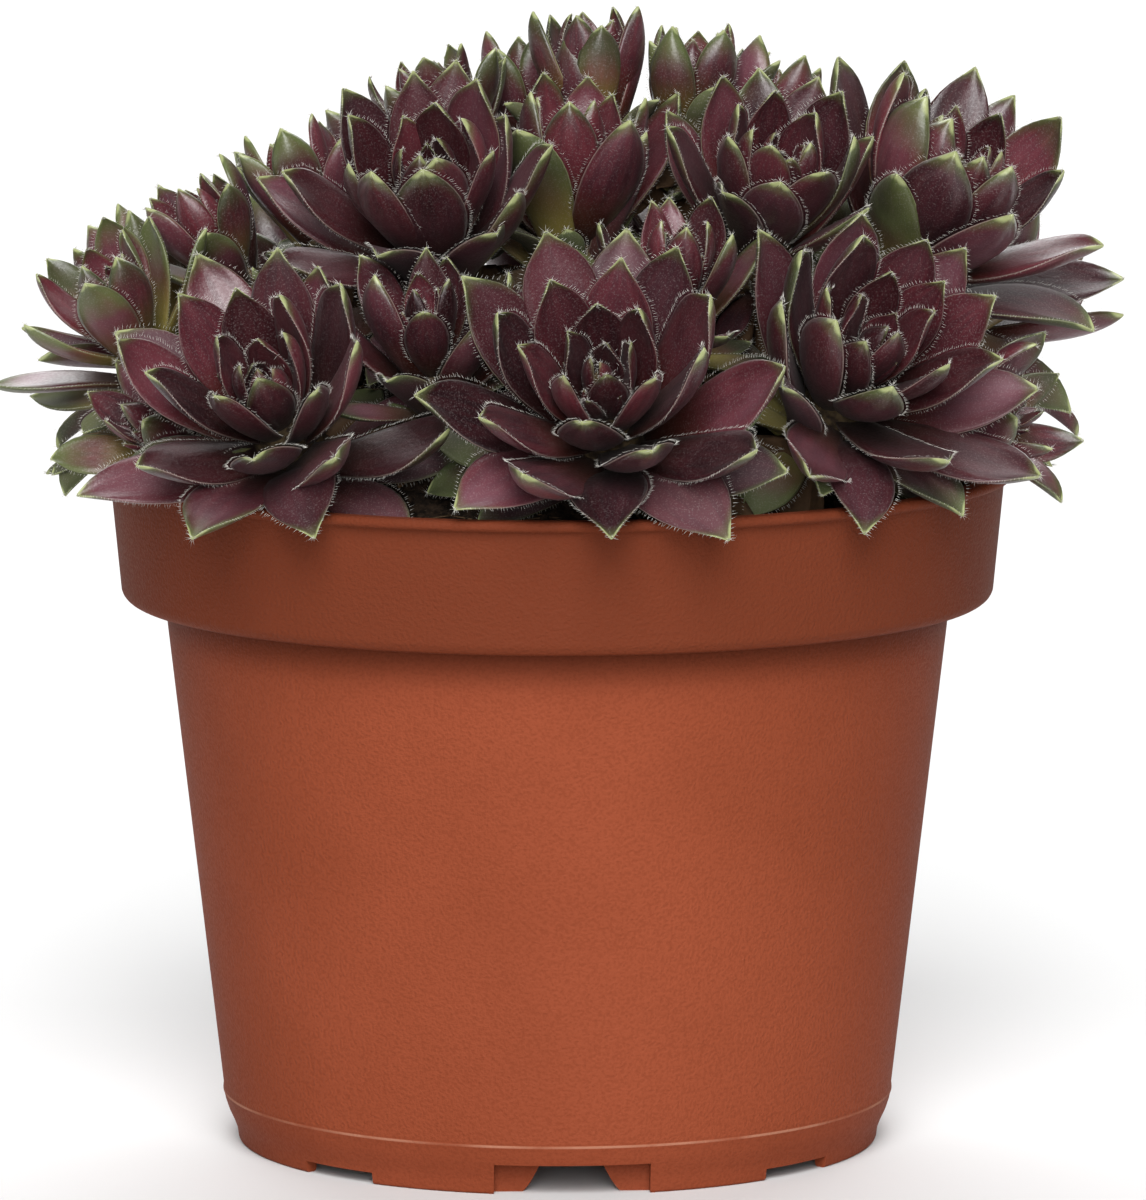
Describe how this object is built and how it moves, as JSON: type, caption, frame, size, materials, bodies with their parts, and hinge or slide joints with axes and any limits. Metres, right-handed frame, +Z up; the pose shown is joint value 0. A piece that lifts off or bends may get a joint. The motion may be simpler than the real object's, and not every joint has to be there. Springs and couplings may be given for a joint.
{
  "type": "potted sempervivum",
  "caption": "Clump of pointed, purple, hair-edged leaf rosettes heaped over the rim of a round tapered nursery pot with a deep band under its lip, standing on a notched foot ring.",
  "frame": {"origin": "on the pot's axis, at the plane that the foot ring stands on", "axes": "+Z up along the pot's axis; -Y towards the front, the side the picture shows; +X to the picture's right"},
  "size_m": [0.1525, 0.1439, 0.152],
  "materials": {
    "pot": "matte moulded plastic with a fine leathery grain, terracotta brown",
    "soil": "dark peat with fine fibres",
    "leaf": "succulent leaf, purple with green edges, soft sheen"
  },
  "bodies": {
    "root": {"pot": "pot", "soil": "soil", "rosette_front_middle": "leaf", "rosette_front_left": "leaf", "rosette_front_right": "leaf", "rosette_middle_left": "leaf", "rosette_middle_right": "leaf", "rosette_far_right": "leaf", "rosette_low_right": "leaf", "rosette_far_left": "leaf", "rosette_low_left": "leaf", "rosette_centre": "leaf", "rosette_tuft_left": "leaf", "rosette_tuft_right": "leaf", "rosette_top_middle": "leaf", "rosette_top_left": "leaf", "rosette_top_edge": "leaf", "rosette_top_right": "leaf", "rosette_top_end": "leaf", "rosette_upper_left": "leaf", "rosette_shoulder_left": "leaf", "rosette_side_left": "leaf", "rosette_back_left": "leaf", "rosette_back_middle": "leaf", "rosette_back_right": "leaf", "rosette_side_right": "leaf", "rosette_rear_left": "leaf", "rosette_rear_right": "leaf"}
  },
  "joints": []
}
